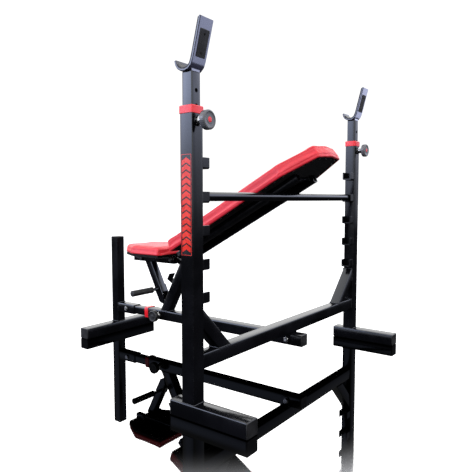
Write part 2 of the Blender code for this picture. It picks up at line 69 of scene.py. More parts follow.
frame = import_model()
NODES = frame["nodes"]
SIDES = (("near", 1), ("far", -1))
X, Y, Z = Vector((1, 0, 0)), Vector((0, 1, 0)), Vector((0, 0, 1))
RNG = random.Random(7)


def middle(node):
    low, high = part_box(node)
    return (low + high) / 2


def size_of(node):
    low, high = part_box(node)
    return high - low


def reach(node, direction, inside=lambda p: True):
    """Lowest and highest coordinate along a direction of the node's points that pass a test."""
    values = [v.co.dot(direction) for v in NODES[node].data.vertices if inside(v.co)]
    return min(values), max(values)


# ---- places read from the frame -----------------------------------------------------------------
RACK_X, RACK_Y = middle("upright_near").x, middle("collar_near").y      # axis of the near upright
UP_HALF = size_of("upright_near").x / 2
TILT = math.radians(28.8)                            # backrest above horizontal
ALONG = Vector((0, math.cos(TILT), math.sin(TILT)))  # up the backrest
OUT = Vector((0, -math.sin(TILT), math.cos(TILT)))   # out of its cushion
CROSS_Y = reach("cross_beam", Y, lambda p: abs(p.x) > 0.5)              # its tube, clear of the hanger plates
CROSS_Z = reach("cross_beam", Z, lambda p: abs(p.x) > 0.5)
POST_FACE_Y = reach("front_post", Y, lambda p: p.z > 0.4)[1]            # rear face, above the socket
TIE_S = [middle("backrest_pin").dot(ALONG) + s for s in (0.185, 0.465, 0.647)]     # ties of the backrest


# ---- materials ----------------------------------------------------------------------------------
class Shader:
    """A Principled material whose nodes are added and linked by short calls."""

    def __init__(self, name, rough=0.5, metal=0.0):
        self.material = bpy.data.materials.new(name)
        self.material.use_nodes = True
        self.tree = self.material.node_tree
        self.main = self.tree.nodes["Principled BSDF"]
        self.put(self.main, "Roughness", rough)
        self.put(self.main, "Metallic", metal)
        self.place = self.node("ShaderNodeTexCoord").outputs["Object"]

    def put(self, node, name, value):
        socket = node.inputs[name]
        if isinstance(value, bpy.types.NodeSocket):
            self.tree.links.new(value, socket)
        else:
            socket.default_value = value

    def node(self, kind, inputs=None, **settings):
        made = self.tree.nodes.new(kind)
        for key, value in settings.items():
            setattr(made, key, value)
        for key, value in (inputs or {}).items():
            self.put(made, key, value)
        return made

    def stretched(self, scale):
        return self.node("ShaderNodeMapping", {"Vector": self.place, "Scale": scale}).outputs[0]

    def noise(self, scale, detail=3.0, rough=0.5, vector=None):
        return self.node("ShaderNodeTexNoise", {"Vector": vector or self.place, "Scale": scale,
                                                "Detail": detail, "Roughness": rough}).outputs["Fac"]

    def cells(self, scale, feature="DISTANCE_TO_EDGE"):
        return self.node("ShaderNodeTexVoronoi", {"Vector": self.place, "Scale": scale},
                         feature=feature).outputs["Distance"]

    def remap(self, value, low, high, to_low, to_high, smooth=True):
        made = self.node("ShaderNodeMapRange", {"Value": value, "From Min": low, "From Max": high,
                                                "To Min": to_low, "To Max": to_high})
        made.interpolation_type = "SMOOTHSTEP" if smooth else "LINEAR"
        return made.outputs["Result"]

    def math(self, operation, a, b):
        made = self.node("ShaderNodeMath", operation=operation)
        self.put(made, 0, a)
        self.put(made, 1, b)
        return made.outputs[0]

    def mix(self, factor, a, b):
        made = self.node("ShaderNodeMix", data_type="RGBA")
        self.put(made, 0, factor)
        self.put(made, 6, (*a, 1) if isinstance(a, tuple) else a)
        self.put(made, 7, (*b, 1) if isinstance(b, tuple) else b)
        return made.outputs[2]

    def bump(self, height, distance, strength=1.0, normal=None):
        made = self.node("ShaderNodeBump", {"Height": height, "Distance": distance, "Strength": strength})
        if normal is not None:
            self.put(made, "Normal", normal)
        return made.outputs[0]

    def set(self, **inputs):
        for key, value in inputs.items():
            self.put(self.main, key.replace("_", " "), value)
        return self.material

    def edge_mask(self, radius):
        """A mask that is 1 along edges and 0 on flat faces."""
        soft = self.node("ShaderNodeBevel", {"Radius": radius}, samples=4).outputs[0]
        flat = self.node("ShaderNodeNewGeometry").outputs["Normal"]
        agree = self.node("ShaderNodeVectorMath", operation="DOT_PRODUCT")
        self.put(agree, 0, soft)
        self.put(agree, 1, flat)
        return self.remap(agree.outputs["Value"], 0.997, 0.90, 0.0, 1.0)


def powder_coat(name, dark, light, thin_coat_and_highlight):
    s = Shader(name)
    peel = s.noise(620, 2.0)
    grain = s.noise(2600, 1.0)
    cloud = s.noise(9, 4.0)
    scuff = s.remap(s.noise(5, 8.0, 0.7, s.stretched((1, 9, 1))), 0.60, 0.74, 0, 1)
    edge = s.math("MULTIPLY", s.edge_mask(0.0016), s.remap(s.noise(60, 5.0), 0.40, 0.66, 0.15, 1.0))
    tone = s.mix(s.remap(cloud, 0.35, 0.68, 0, 1), dark, light)
    # Lighter along the edges: partly a thinner coat there, partly painted highlight.
    tone = s.mix(s.math("MULTIPLY", edge, 0.55), tone, thin_coat_and_highlight)
    rough = s.math("ADD", s.remap(cloud, 0.3, 0.7, 0.13, 0.20), s.math("MULTIPLY", scuff, 0.07))
    return s.set(Base_Color=tone, Roughness=rough, IOR=1.55, Specular_Tint=(0.90, 0.94, 1.0, 1),
                 Normal=s.bump(peel, 0.00006, 0.45, s.bump(grain, 0.00002, 0.3)))


def vinyl():
    s = Shader("red_vinyl")
    valley = s.remap(s.cells(430), 0.0, 0.16, 0, 1)
    pores = s.noise(1500, 2.0)
    cloud = s.noise(7, 4.0)
    stretch = s.noise(38, 3.0, 0.5, s.stretched((1.0, 0.35, 1.0)))
    tone = s.mix(s.remap(cloud, 0.33, 0.68, 0, 1), (0.66, 0.010, 0.024), (0.80, 0.018, 0.036))
    # The grain's valleys are painted darker: painted shade in the recesses.
    tone = s.mix(s.remap(valley, 0, 1, 0.55, 0.0), tone, (0.42, 0.004, 0.012))
    rough = s.math("ADD", s.remap(stretch, 0.3, 0.7, 0.34, 0.46), s.remap(valley, 0, 1, 0.08, 0.0))
    fine = s.bump(pores, 0.00006, 0.5)
    return s.set(Base_Color=tone, Roughness=rough, Sheen_Weight=0.12, Sheen_Roughness=0.4, IOR=1.5,
                 Normal=s.bump(valley, 0.00022, 0.55, fine))


def thread():
    s = Shader("red_thread")
    twist = s.noise(2400, 2.0, 0.6, s.stretched((1, 0.3, 1)))
    tone = s.mix(s.remap(twist, 0.35, 0.65, 0, 1), (0.30, 0.006, 0.012), (0.55, 0.015, 0.03))
    return s.set(Base_Color=tone, Roughness=0.75, Sheen_Weight=0.4, Normal=s.bump(twist, 0.0002, 0.7))


def moulded(name, dark, light, rough, grain_scale, grain_depth, edge_highlight_tone=None):
    """Injection-moulded plastic with an eroded grain."""
    s = Shader(name)
    grain = s.noise(grain_scale, 2.0)
    cloud = s.noise(22, 4.0)
    tone = s.mix(s.remap(cloud, 0.35, 0.66, 0, 1), dark, light)
    # The edges are painted lighter here: painted highlight.
    if edge_highlight_tone:
        tone = s.mix(s.math("MULTIPLY", s.edge_mask(0.001), 0.5), tone, edge_highlight_tone)
    return s.set(Base_Color=tone, Roughness=s.remap(cloud, 0.3, 0.7, rough - 0.05, rough + 0.07),
                 Normal=s.bump(grain, grain_depth, 0.6))


def rubber():
    s = Shader("black_rubber")
    grain = s.noise(1900, 3.0)
    dust = s.remap(s.noise(26, 6.0, 0.65), 0.48, 0.74, 0, 1)
    tone = s.mix(dust, (0.0075, 0.0075, 0.0080), (0.020, 0.020, 0.021))
    return s.set(Base_Color=tone, Roughness=s.remap(dust, 0, 1, 0.55, 0.78),
                 Normal=s.bump(grain, 0.0001, 0.6))


def zinc():
    s = Shader("zinc_steel", metal=1.0)
    spangle = s.cells(520, "F1")
    brushed = s.noise(55, 4.0, 0.6, s.stretched((18, 1, 1)))
    tone = s.mix(s.remap(spangle, 0.1, 0.8, 0, 1), (0.52, 0.53, 0.54), (0.70, 0.70, 0.69))
    return s.set(Base_Color=tone, Roughness=s.remap(brushed, 0.3, 0.7, 0.20, 0.40),
                 Normal=s.bump(brushed, 0.00004, 0.5))


def black_oxide():
    """Blackened steel of the pivot pins, rubbed bright on its corners."""
    s = Shader("black_oxide_steel", metal=1.0)
    brushed = s.noise(60, 4.0, 0.6, s.stretched((16, 1, 1)))
    rubbed = s.math("MULTIPLY", s.edge_mask(0.0008), s.remap(s.noise(90, 4.0), 0.35, 0.6, 0.2, 1.0))
    tone = s.mix(s.remap(brushed, 0.3, 0.7, 0, 1), (0.030, 0.030, 0.033), (0.070, 0.070, 0.074))
    tone = s.mix(rubbed, tone, (0.34, 0.34, 0.35))
    return s.set(Base_Color=tone, Roughness=s.remap(brushed, 0.3, 0.7, 0.26, 0.42),
                 Normal=s.bump(brushed, 0.00004, 0.5))


def backing_cloth():
    """Black non-woven cloth over the plywood under a pad."""
    s = Shader("black_board")
    u = s.node("ShaderNodeTexWave", {"Vector": s.place, "Scale": 320.0, "Distortion": 1.2, "Detail": 1.0},
               bands_direction="X").outputs["Fac"]
    v = s.node("ShaderNodeTexWave", {"Vector": s.place, "Scale": 320.0, "Distortion": 1.2, "Detail": 1.0},
               bands_direction="Y").outputs["Fac"]
    weave = s.math("MULTIPLY", u, v)
    fluff = s.noise(70, 6.0, 0.7)
    tone = s.mix(s.remap(fluff, 0.35, 0.7, 0, 1), (0.0020, 0.0020, 0.0022), (0.0060, 0.0060, 0.0064))
    return s.set(Base_Color=tone, Roughness=0.80, IOR=1.3, Sheen_Weight=0.02,
                 Normal=s.bump(weave, 0.0002, 0.6))


def print_ink(name, dark, light):
    """Glossy printed film."""
    s = Shader(name)
    cloud = s.noise(40, 5.0)
    dots = s.noise(1700, 1.0)
    tone = s.mix(s.remap(cloud, 0.3, 0.7, 0, 1), dark, light)
    return s.set(Base_Color=tone, Roughness=s.remap(cloud, 0.3, 0.7, 0.22, 0.34),
                 Normal=s.bump(dots, 0.00002, 0.5))


# The last colour of each coat is its lighter edge: partly thinner coat, partly painted highlight.
COAT = powder_coat("black_powder_coat", (0.0020, 0.0021, 0.0027), (0.0036, 0.0037, 0.0050),
                   (0.030, 0.031, 0.036))
# The hooks have the same black powder coat as the frame: this lighter copy of it is painted light, standing
# in for the light that the backs of the hooks mirror.
LIGHTENED_HOOK_COAT = powder_coat("hook_coat_painted_light", (0.034, 0.035, 0.050), (0.046, 0.047, 0.066), (0.14, 0.14, 0.17))
VINYL = vinyl()
THREAD = thread()
# The last colour of each moulded plastic is its lighter edge: painted highlight.
RED_PLASTIC = moulded("red_plastic", (0.74, 0.013, 0.022), (0.86, 0.025, 0.036), 0.30, 900, 0.00006,
                      (0.90, 0.14, 0.12))
BLACK_PLASTIC = moulded("black_plastic", (0.0060, 0.0060, 0.0066), (0.0120, 0.0120, 0.0128), 0.42, 1300,
                        0.00012, (0.03, 0.03, 0.033))
KNOB_PLASTIC = moulded("knob_plastic", (0.085, 0.086, 0.095), (0.120, 0.122, 0.134), 0.24, 1100, 0.00006,
                       (0.16, 0.16, 0.17))
RUBBER = rubber()
ZINC = zinc()
BOARD = backing_cloth()
INK_BLACK = print_ink("ink_black", (0.006, 0.006, 0.008), (0.011, 0.011, 0.013))
INK_RED = print_ink("ink_red", (0.66, 0.022, 0.012), (0.80, 0.034, 0.018))
BLACK_OXIDE = black_oxide()


# ---- mesh helpers -------------------------------------------------------------------------------
def smooth_by_angle(obj, degrees=35):
    obj.data.shade_smooth()
    obj.data.set_sharp_from_angle(angle=math.radians(degrees))


def add_piece(name, verts, faces, material, body, degrees=35):
    mesh = bpy.data.meshes.new(name)
    mesh.from_pydata([tuple(v) for v in verts], [], faces)
    mesh.update()
    mesh.materials.append(material)
    obj = bpy.data.objects.new(name, mesh)
    bpy.context.scene.collection.objects.link(obj)
    bm = bmesh.new()
    bm.from_mesh(mesh)
    bmesh.ops.recalc_face_normals(bm, faces=bm.faces)
    bm.to_mesh(mesh)
    bm.free()
    smooth_by_angle(obj, degrees)
    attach(obj, body)
    return obj


def bevelled(obj, width, segments=2, degrees=30):
    m = obj.modifiers.new("edge", "BEVEL")
    m.width, m.segments, m.angle_limit = width, segments, math.radians(degrees)
    m.limit_method = "ANGLE"
    m.harden_normals = True
    return obj


class Builder:
    """Collects several closed shapes into one mesh."""

    def __init__(self):
        self.verts, self.faces = [], []

    def loft(self, loops, caps=True, ring=False):
        base, n, count = len(self.verts), len(loops[0]), len(loops)
        self.verts += [Vector(p) for loop in loops for p in loop]
        for k in range(count if ring else count - 1):
            a, b = base + k * n, base + ((k + 1) % count) * n
            self.faces += [(a + i, a + (i + 1) % n, b + (i + 1) % n, b + i) for i in range(n)]
        if caps and not ring:
            self.faces.append(tuple(base + i for i in reversed(range(n))))
            self.faces.append(tuple(base + (count - 1) * n + i for i in range(n)))

    def turned(self, at, axis, profile, segments=48, caps=True, ring=False):
        """profile is (depth, radius) pairs; a radius may be a function of the angle."""
        axis = Vector(axis).normalized()
        u = axis.orthogonal().normalized()
        if abs(axis.x) > 0.9:
            u = Vector((0, 1, 0))
        v = axis.cross(u)
        loops = []
        for depth, radius in profile:
            loop = []
            for i in range(segments):
                a = 2 * math.pi * i / segments
                r = radius(a) if callable(radius) else radius
                loop.append(Vector(at) + axis * depth + (u * math.cos(a) + v * math.sin(a)) * r)
            loops.append(loop)
        self.loft(loops, caps, ring)

    def pipe(self, path, radius, sides=8, closed=False, ripple=0.0, pitch=0.004):
        """A round bead along a path. ripple is the share by which its radius swings at each pitch."""
        pts = [Vector(p) for p in path]
        n, loops, walked = len(pts), [], 0.0
        for i, p in enumerate(pts):
            a = pts[i - 1] if (i or closed) else p
            b = pts[(i + 1) % n] if (i < n - 1 or closed) else p
            t = (b - a).normalized()
            u = t.cross(Vector((0.31, 0.57, 0.76))).normalized()
            v = t.cross(u)
            walked += (p - a).length if i else 0.0
            r = radius * (1 + ripple * math.sin(2 * math.pi * walked / pitch))
            if not closed and i in (0, n - 1):
                r *= 0.45
            around = [2 * math.pi * k / sides for k in range(sides)]
            loops.append([p + (u * math.cos(a) + v * math.sin(a)) * r for a in around])
        self.loft(loops, caps=not closed, ring=closed)

    def plate(self, outline, lift, frame_matrix):
        """A flat shape: the outline (u, v) between two heights, placed by a matrix."""
        self.loft([[frame_matrix @ Vector((u, v, h)) for u, v in outline] for h in lift])

    def piece(self, name, material, body, degrees=35):
        return add_piece(name, self.verts, self.faces, material, body, degrees)


def hexagon(flats, limit=1.0):
    """Radius of a hexagon with this width across flats, cut to a circle of radius limit."""
    def radius(angle):
        a = (angle + math.pi / 6) % (math.pi / 3) - math.pi / 6
        return min(flats / 2 / math.cos(a), limit)
    return radius


def fillet(corners, steps=8):
    """Outline through corners (x, y, radius), each turned into an arc."""
    out, n = [], len(corners)
    for i, (x, y, r) in enumerate(corners):
        p = Vector((x, y, 0))
        a = (Vector((*corners[i - 1][:2], 0)) - p).normalized()
        b = (Vector((*corners[(i + 1) % n][:2], 0)) - p).normalized()
        half = a.angle(b) / 2
        centre = p + (a + b).normalized() * (r / math.sin(half))
        start, end = p + a * (r / math.tan(half)) - centre, p + b * (r / math.tan(half)) - centre
        out += [(centre + start.slerp(end, k / steps).normalized() * r).to_2d() for k in range(steps + 1)]
    return out


def resample(outline, step):
    """The closed outline again, with points an even step apart."""
    n = len(outline)
    lengths = [(outline[(i + 1) % n] - outline[i]).length for i in range(n)]
    total = sum(lengths)
    count = max(12, round(total / step))
    out, i, done = [], 0, 0.0
    for k in range(count):
        want = total * k / count
        while done + lengths[i] < want:
            done += lengths[i]
            i += 1
        out.append(outline[i].lerp(outline[(i + 1) % n], (want - done) / max(lengths[i], 1e-9)))
    return out


def inset(outline, distance):
    n, out = len(outline), []
    for i, p in enumerate(outline):
        t = (outline[(i + 1) % n] - outline[i - 1]).normalized()
        out.append(p + Vector((-t.y, t.x)) * distance)
    return out


# ---- CAD nodes that stay ------------------------------------------------------------------------
SLOT_MATERIAL = {"black_powder_coat": COAT, "red_vinyl": VINYL, "red_plastic": RED_PLASTIC,
                 "black_plastic": BLACK_PLASTIC, "black_rubber": RUBBER, "zinc_steel": ZINC,
                 "black_board": BOARD}
EDGE = {"black_powder_coat": 0.0009, "red_plastic": 0.0008, "black_plastic": 0.0006, "zinc_steel": 0.0005,
        "black_board": 0.0015, "black_rubber": 0.0005, "red_vinyl": 0.001}


def dress(node):
    """Better material and softened edges on a CAD node; its own mesh points stay as they are."""
    obj = NODES[node]
    slot = obj.material_slots[0].material.name.split(".")[0]
    # the hooks get the copy of the black coat that is painted lighter: painted light
    obj.material_slots[0].material = LIGHTENED_HOOK_COAT if node in ("hook_near", "hook_far") else SLOT_MATERIAL[slot]
    for layer in ("custom_normal", "sharp_edge"):
        found = obj.data.attributes.get(layer)
        if found:
            obj.data.attributes.remove(found)
    obj.data.shade_smooth()
    weld = obj.modifiers.new("join", "WELD")
    weld.merge_threshold = 0.00002
    flat = obj.modifiers.new("flat_faces", "DECIMATE")
    flat.decimate_type, flat.angle_limit = "DISSOLVE", math.radians(0.5)
    bevelled(obj, EDGE[slot], 2, 28)


# ---- cushions -----------------------------------------------------------------------------------
VOXEL = 0.005                      # of the remeshed pads
SLACK = 0.0015                     # how much smaller a pad starts, all round
SEAM_DROP = 0.010                  # of the piped seam below the top of the pad's CAD solid
BACK_CROWN, SEAT_CROWN = 0.0042, -0.0025            # middle of each pad above the top of its CAD solid
PAD_CORNER = 0.012
STAPLE_INSET, STAPLE_GAP = 0.020, 0.042


def stuffed(name, outline, n0, n1, crown):
    """A padded cover: a slightly small slab, remeshed and blown up by cloth pressure in its own frame.

    The outline is in the pad's plane, n0 its flat underside, n1 the top of its CAD solid, and crown how
    far its middle stands above that."""
    body = Builder()
    top = n1 + crown
    levels = ((0.0022, n0), (0.0004, n0 + 0.0022), (0.0004, top - 0.0125), (0.0020, top - 0.0075),
              (0.0065, top - 0.0030))
    body.loft([[(p.x, p.y, n) for p in inset(outline, SLACK + cut)] for cut, n in levels])
    mesh = bpy.data.meshes.new(name)
    mesh.from_pydata([tuple(v) for v in body.verts], [], body.faces)
    obj = bpy.data.objects.new(name, mesh)
    bpy.context.scene.collection.objects.link(obj)
    remesh = obj.modifiers.new("skin", "REMESH")
    remesh.mode, remesh.voxel_size = "VOXEL", VOXEL
    fine = bpy.data.meshes.new_from_object(obj.evaluated_get(bpy.context.evaluated_depsgraph_get()))
    obj.modifiers.clear()
    obj.data = fine
    blow_up(obj, n0 + 0.5 * VOXEL)
    fit_to(obj, outline, n0, n1, top)
    soft = obj.modifiers.new("skin", "SUBSURF")
    soft.levels = soft.render_levels = 1
    done = bpy.data.meshes.new_from_object(obj.evaluated_get(bpy.context.evaluated_depsgraph_get()))
    obj.modifiers.clear()
    obj.data = done
    return obj


def blow_up(obj, held_below, pressure=4.0, frames=20, cap=0.0050):
    """Cloth pressure with the underside held on its board."""
    scene = bpy.context.scene
    start = [v.co.copy() for v in obj.data.vertices]
    group = obj.vertex_groups.new(name="held")
    group.add([v.index for v in obj.data.vertices if v.co.z < held_below], 1.0, "REPLACE")
    cloth = obj.modifiers.new("stuffing", "CLOTH")
    settings = cloth.settings
    settings.quality = 5
    settings.mass = 0.3
    settings.use_pressure = True
    settings.uniform_pressure_force = pressure
    settings.tension_stiffness = settings.compression_stiffness = 12
    settings.bending_stiffness = 0.6
    settings.effector_weights.gravity = 0
    settings.vertex_group_mass = "held"
    cloth.collision_settings.use_collision = False
    for number in range(1, frames + 1):
        scene.frame_set(number)
    shape = obj.evaluated_get(bpy.context.evaluated_depsgraph_get()).to_mesh()
    blown = [v.co.copy() for v in shape.vertices]
    obj.modifiers.clear()
    obj.vertex_groups.clear()
    scene.frame_set(1)
    for v, a, b in zip(obj.data.vertices, start, blown):
        move = b - a
        v.co = a + move * min(1.0, cap / max(move.length, 1e-9))


def fit_to(obj, outline, n0, n1, peak):
    """Brings the blown pad back to its real length, width and height, with the underside flat."""
    verts = obj.data.vertices
    for axis in (0, 1):
        want = (min(p[axis] for p in outline), max(p[axis] for p in outline))
        has = (min(v.co[axis] for v in verts), max(v.co[axis] for v in verts))
        scale = (want[1] - want[0]) / (has[1] - has[0])
        for v in verts:
            v.co[axis] = want[0] + (v.co[axis] - has[0]) * scale
    top = max(v.co.z for v in verts)
    shoulder = n0 + 0.7 * (n1 - n0)                 # below this the side keeps its height
    for v in verts:
        if v.co.z > shoulder:
            v.co.z = shoulder + (v.co.z - shoulder) * (peak - shoulder) / (top - shoulder)
        v.co.z = max(n0, v.co.z)


def seam_path(obj, outline, height, step=0.003):
    """Points where the pad's side crosses a height, found by looking in from outside the outline."""
    tree = BVHTree.FromObject(obj, bpy.context.evaluated_depsgraph_get())
    path = []
    even = resample(outline, step)
    n = len(even)
    for i, p in enumerate(even):
        t = (even[(i + 1) % n] - even[i - 1]).normalized()
        inward = Vector((-t.y, t.x, 0))
        hit = tree.ray_cast(Vector((p.x, p.y, height)) - inward * 0.05, inward, 0.12)
        if hit[0] is not None:
            path.append((hit[0], hit[1]))
    return path


def press_seam(obj, path, depth, width):
    """A groove along the path."""
    tree = KDTree(len(path))
    for i, (point, _) in enumerate(path):
        tree.insert(point, i)
    tree.balance()
    for v in obj.data.vertices:
        _, i, gap = tree.find(v.co)
        if gap < 3 * width:
            v.co -= path[i][1] * depth * math.exp(-(gap / width) ** 2)


def corner_pleats(obj, outline, n0, n1, amount):
    """Fine gathers low on the side wherever the outline turns, as a cover pulled round a corner has."""
    even = resample(outline, 0.004)
    n = len(even)
    tree = KDTree(n)
    turn = []
    for i, p in enumerate(even):
        a = (p - even[i - 4]).angle_signed(even[(i + 4) % n] - p)
        turn.append(min(1.0, abs(a) / 0.45))
        tree.insert((p.x, p.y, 0), i)
    tree.balance()
    tall = (n1 - n0) * 0.62
    for v in obj.data.vertices:
        low = 1 - (v.co.z - n0) / tall
        if not 0 < low <= 1:
            continue
        _, i, gap = tree.find((v.co.x, v.co.y, 0))
        if gap > 0.02 or turn[i] < 0.2:
            continue
        t = (even[(i + 1) % n] - even[i - 1]).normalized()
        wave = math.sin(i * 0.004 / 0.0065 * 2 * math.pi + math.sin(i * 0.7) * 0.8)
        side = max(0.0, 1 - gap / 0.012)
        v.co += Vector((-t.y, t.x, 0)) * (amount * wave * turn[i] * low ** 1.3 * side)


def stitches(path, place, name, body, lift=0.0003, offset=0.0045, pitch=0.0062, long=0.0042):
    """A row of thread dashes beside a seam."""
    made = Builder()
    walked, start = 0.0, None
    for i in range(1, len(path)):
        (a, na), (b, _) = path[i - 1], path[i]
        walked += (b - a).length
        if start is None or walked - start >= pitch:
            start = walked
            t = (b - a).normalized()
            up = t.cross(na).normalized()
            up = up if up.z > 0 else -up
            centre = a + up * offset + na * lift
            pts = [centre + t * long * k - na * sunk for k, sunk in ((-0.5, 0.0005), (-0.3, 0), (0.3, 0),
                                                                     (0.5, 0.0005))]
            made.pipe([place @ p for p in pts], 0.00042, 6)
    made.piece(name, THREAD, body, 60)


def cover_edge(name, body, outline, n_board, n0, place):
    """The cover's edge, pulled down round the board and turned in under it."""
    made = Builder()
    section = ((0.0006, n0 + 0.0020), (0.0006, n_board + 0.0018), (0.0014, n_board + 0.0004),
               (0.0034, n_board - 0.0006), (0.0080, n_board - 0.0006), (0.0080, n_board - 0.0001),
               (0.0058, n_board + 0.0004), (0.0058, n0 + 0.0020))
    even = resample(outline, 0.004)
    made.loft([[place @ Vector((p.x, p.y, n)) for p in inset(even, cut)] for cut, n in section], ring=True)
    made.piece(name, VINYL, body, 50)


def upholster(name, node, body, outline, n0, n1, crown, place):
    """A stuffed pad with gathered corners, and piping and a row of thread along the seam on its shoulder."""
    seam = n1 - SEAM_DROP
    pad = stuffed(name, outline, n0, n1, crown)
    press_seam(pad, seam_path(pad, outline, seam), 0.0016, 0.0026)
    corner_pleats(pad, outline, n0, n1, 0.0008)
    row = seam_path(pad, outline, seam)
    pad.data.transform(place)
    pad.data.materials.clear()
    pad.data.materials.append(VINYL)
    smooth_by_angle(pad, 60)
    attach(pad, body)
    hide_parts(node)
    cord = Builder()
    cord.pipe([place @ (p - n * 0.0002) for p, n in row], 0.0011, 8, closed=True)
    cord.piece(f"{name}_piping", VINYL, body, 60)
    stitches(row, place, f"{name}_stitches", body)


def staples(name, body, outline, place, height):
    """A row of wire staples that holds the cover under a board."""
    made = Builder()
    even = resample(outline, STAPLE_GAP)
    n = len(even)
    leg, crown = Z * 0.001, Z * 0.0004
    for i, p in enumerate(even):
        t = (even[(i + 1) % n] - even[i - 1]).normalized()
        t = Vector((t.x, t.y, 0))
        c = Vector((p.x, p.y, height)) + Vector((RNG.uniform(-0.002, 0.002), RNG.uniform(-0.002, 0.002), 0))
        wire = [c - t * 0.0055 + leg, c - t * 0.0050 - crown, c + t * 0.0050 - crown, c + t * 0.0055 + leg]
        made.pipe([place @ q for q in wire], 0.00055, 6)
    made.piece(name, ZINC, body, 60)


def upholster_backrest():
    """Straight sides that taper to a blunt head end. Its plane is given by ALONG and OUT, with x across."""
    n_low, n_high = reach("backrest_pad", OUT)
    s_low, s_high = reach("backrest_pad", ALONG)
    half = size_of("backrest_pad").x / 2
    place = Matrix((X, ALONG, OUT)).transposed().to_4x4()
    neck = s_high - 0.160                           # where the sides start to taper to the head end
    tip, tip_s, tip_corner = 0.087, s_high - 0.011, 0.014       # where the head end starts to round
    outline = fillet([(-half, s_low, PAD_CORNER), (half, s_low, PAD_CORNER), (half, neck, 0.060),
                      (tip, tip_s, tip_corner), (0, s_high + 0.001, 0.12), (-tip, tip_s, tip_corner),
                      (-half, neck, 0.060)])
    upholster("backrest_cushion", "backrest_pad", "backrest", outline, n_low, n_high, BACK_CROWN, place)
    under = reach("backrest_board", OUT)[0]
    cover_edge("backrest_cover_edge", "backrest", outline, under, n_low, place)
    staples("backrest_staples", "backrest", inset(outline, STAPLE_INSET), place, under)


def upholster_seat():
    """A level pad with tapered front corners."""
    low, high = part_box("seat_pad")
    half, front_half, taper_y = (high.x - low.x) / 2, 0.090, low.y + 0.098
    outline = fillet([(-front_half, low.y, PAD_CORNER), (front_half, low.y, PAD_CORNER),
                      (half, taper_y, 0.030), (half, high.y, 0.011), (-half, high.y, 0.011),
                      (-half, taper_y, 0.030)])
    level = Matrix.Identity(4)
    upholster("seat_cushion", "seat_pad", "seat", outline, low.z, high.z, SEAT_CROWN, level)
    staples("seat_staples", "seat", inset(outline, STAPLE_INSET), level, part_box("seat_board")[0].z)


# ---- hardware -----------------------------------------------------------------------------------
def cross_bolt(node, body, finish):
    """Washer, hex head, washer and nut on a threaded shank, in the place of a plain CAD bolt."""
    low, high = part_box(node)
    at = (0, (low.y + high.y) / 2, (low.z + high.z) / 2)
    wide = (high.z - low.z) / 2                     # radius of the washers
    flats = wide * 1.8
    x0, x1 = low.x + 0.0056, high.x - 0.0070        # faces that the bolt clamps
    shank = 0.0046 if wide < 0.0108 else 0.0056
    washer, nut, head = 0.0012, 0.0058, 0.0066      # how far each stands out of its face
    made = Builder()
    made.turned(at, X, [
        (x0 - 0.0092, shank * 0.80), (x0 - 0.0084, shank), (x0 - 0.0078, shank * 0.93), (x0 - 0.0072, shank),
        (x0 - 0.0066, shank * 0.93), (x0 - 0.0060, shank), (x0 - 0.0052, shank), (x1 + 0.001, shank)], 24)
    made.turned(at, X, [(x0 - washer, shank), (x0 - washer, wide), (x0, wide), (x0, shank)], 48, ring=True)
    made.turned(at, X, [
        (x0 - washer, shank), (x0 - washer, hexagon(flats)), (x0 - nut + 0.0010, hexagon(flats)),
        (x0 - nut + 0.0004, hexagon(flats, flats * 0.52)), (x0 - nut, hexagon(flats, flats * 0.475)),
        (x0 - nut, shank)], 72, ring=True)
    made.turned(at, X, [(x1, shank), (x1, wide), (x1 + washer, wide), (x1 + washer, shank)], 48, ring=True)
    made.turned(at, X, [
        (x1 + washer, 0.001), (x1 + washer, hexagon(flats)), (x1 + head - 0.0012, hexagon(flats)),
        (x1 + head - 0.0005, hexagon(flats, flats * 0.52)), (x1 + head, hexagon(flats, flats * 0.47)),
        (x1 + head, flats * 0.30), (x1 + head - 0.0005, flats * 0.27), (x1 + head - 0.0005, 0.001)], 72)
    bolt = made.piece(f"{node}_hardware", finish, body, 25)
    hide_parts(node)


def pull_knob(node, body, axis, at, face, back, radius, moulding, disc):
    """Fluted plastic knob with a recessed face and a plain centre disc, on a steel plunger."""
    grip = Builder()
    flutes = 30

    def rim(scale, depth=0.00018):
        return lambda a: scale * radius - depth * (0.5 + 0.5 * math.cos(flutes * a)) ** 3

    thick = face - back
    grip.turned(at, axis, [
        (back, 0.008), (back, 0.0130), (back + 0.10 * thick, 0.0145), (back + 0.12 * thick, rim(0.86, 0)),
        (back + 0.20 * thick, rim(0.97, 0)), (back + 0.30 * thick, rim(1.0)), (back + 0.80 * thick, rim(1.0)),
        (back + 0.90 * thick, rim(0.975, 0.0004)), (face - 0.0008, rim(0.92, 0)), (face, rim(0.86, 0)),
        (face, rim(0.80, 0)), (face - 0.0012, rim(0.77, 0)), (face - 0.0016, rim(0.72, 0)),
        (face - 0.0016, 0.0125), (face - 0.0006, 0.0118), (face - 0.0006, 0.0088), (face - 0.0018, 0.0085),
        (face - 0.0018, 0.001)], 180)
    knob = grip.piece(f"{node}_grip", moulding, body, 40)
    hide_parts(node)
    badge = Builder()
    badge.turned(at, axis, [(face - 0.0020, 0.0083), (face - 0.0009, 0.0083), (face - 0.0006, 0.0079),
                            (face - 0.0005, 0.0050), (face - 0.0004, 0.001)], 48)
    badge.piece(f"{node}_centre_disc", disc, body,
                40)
    stem = Builder()
    stem.turned(at, axis, [(back - 0.0285, 0.0032), (back - 0.0275, 0.0045), (back - 0.0265, 0.0061),
                           (back - 0.0010, 0.0061), (back + 0.0004, 0.0075), (back + 0.0020, 0.0075)], 40)
    stem.piece(f"{node}_plunger", ZINC, body, 40)


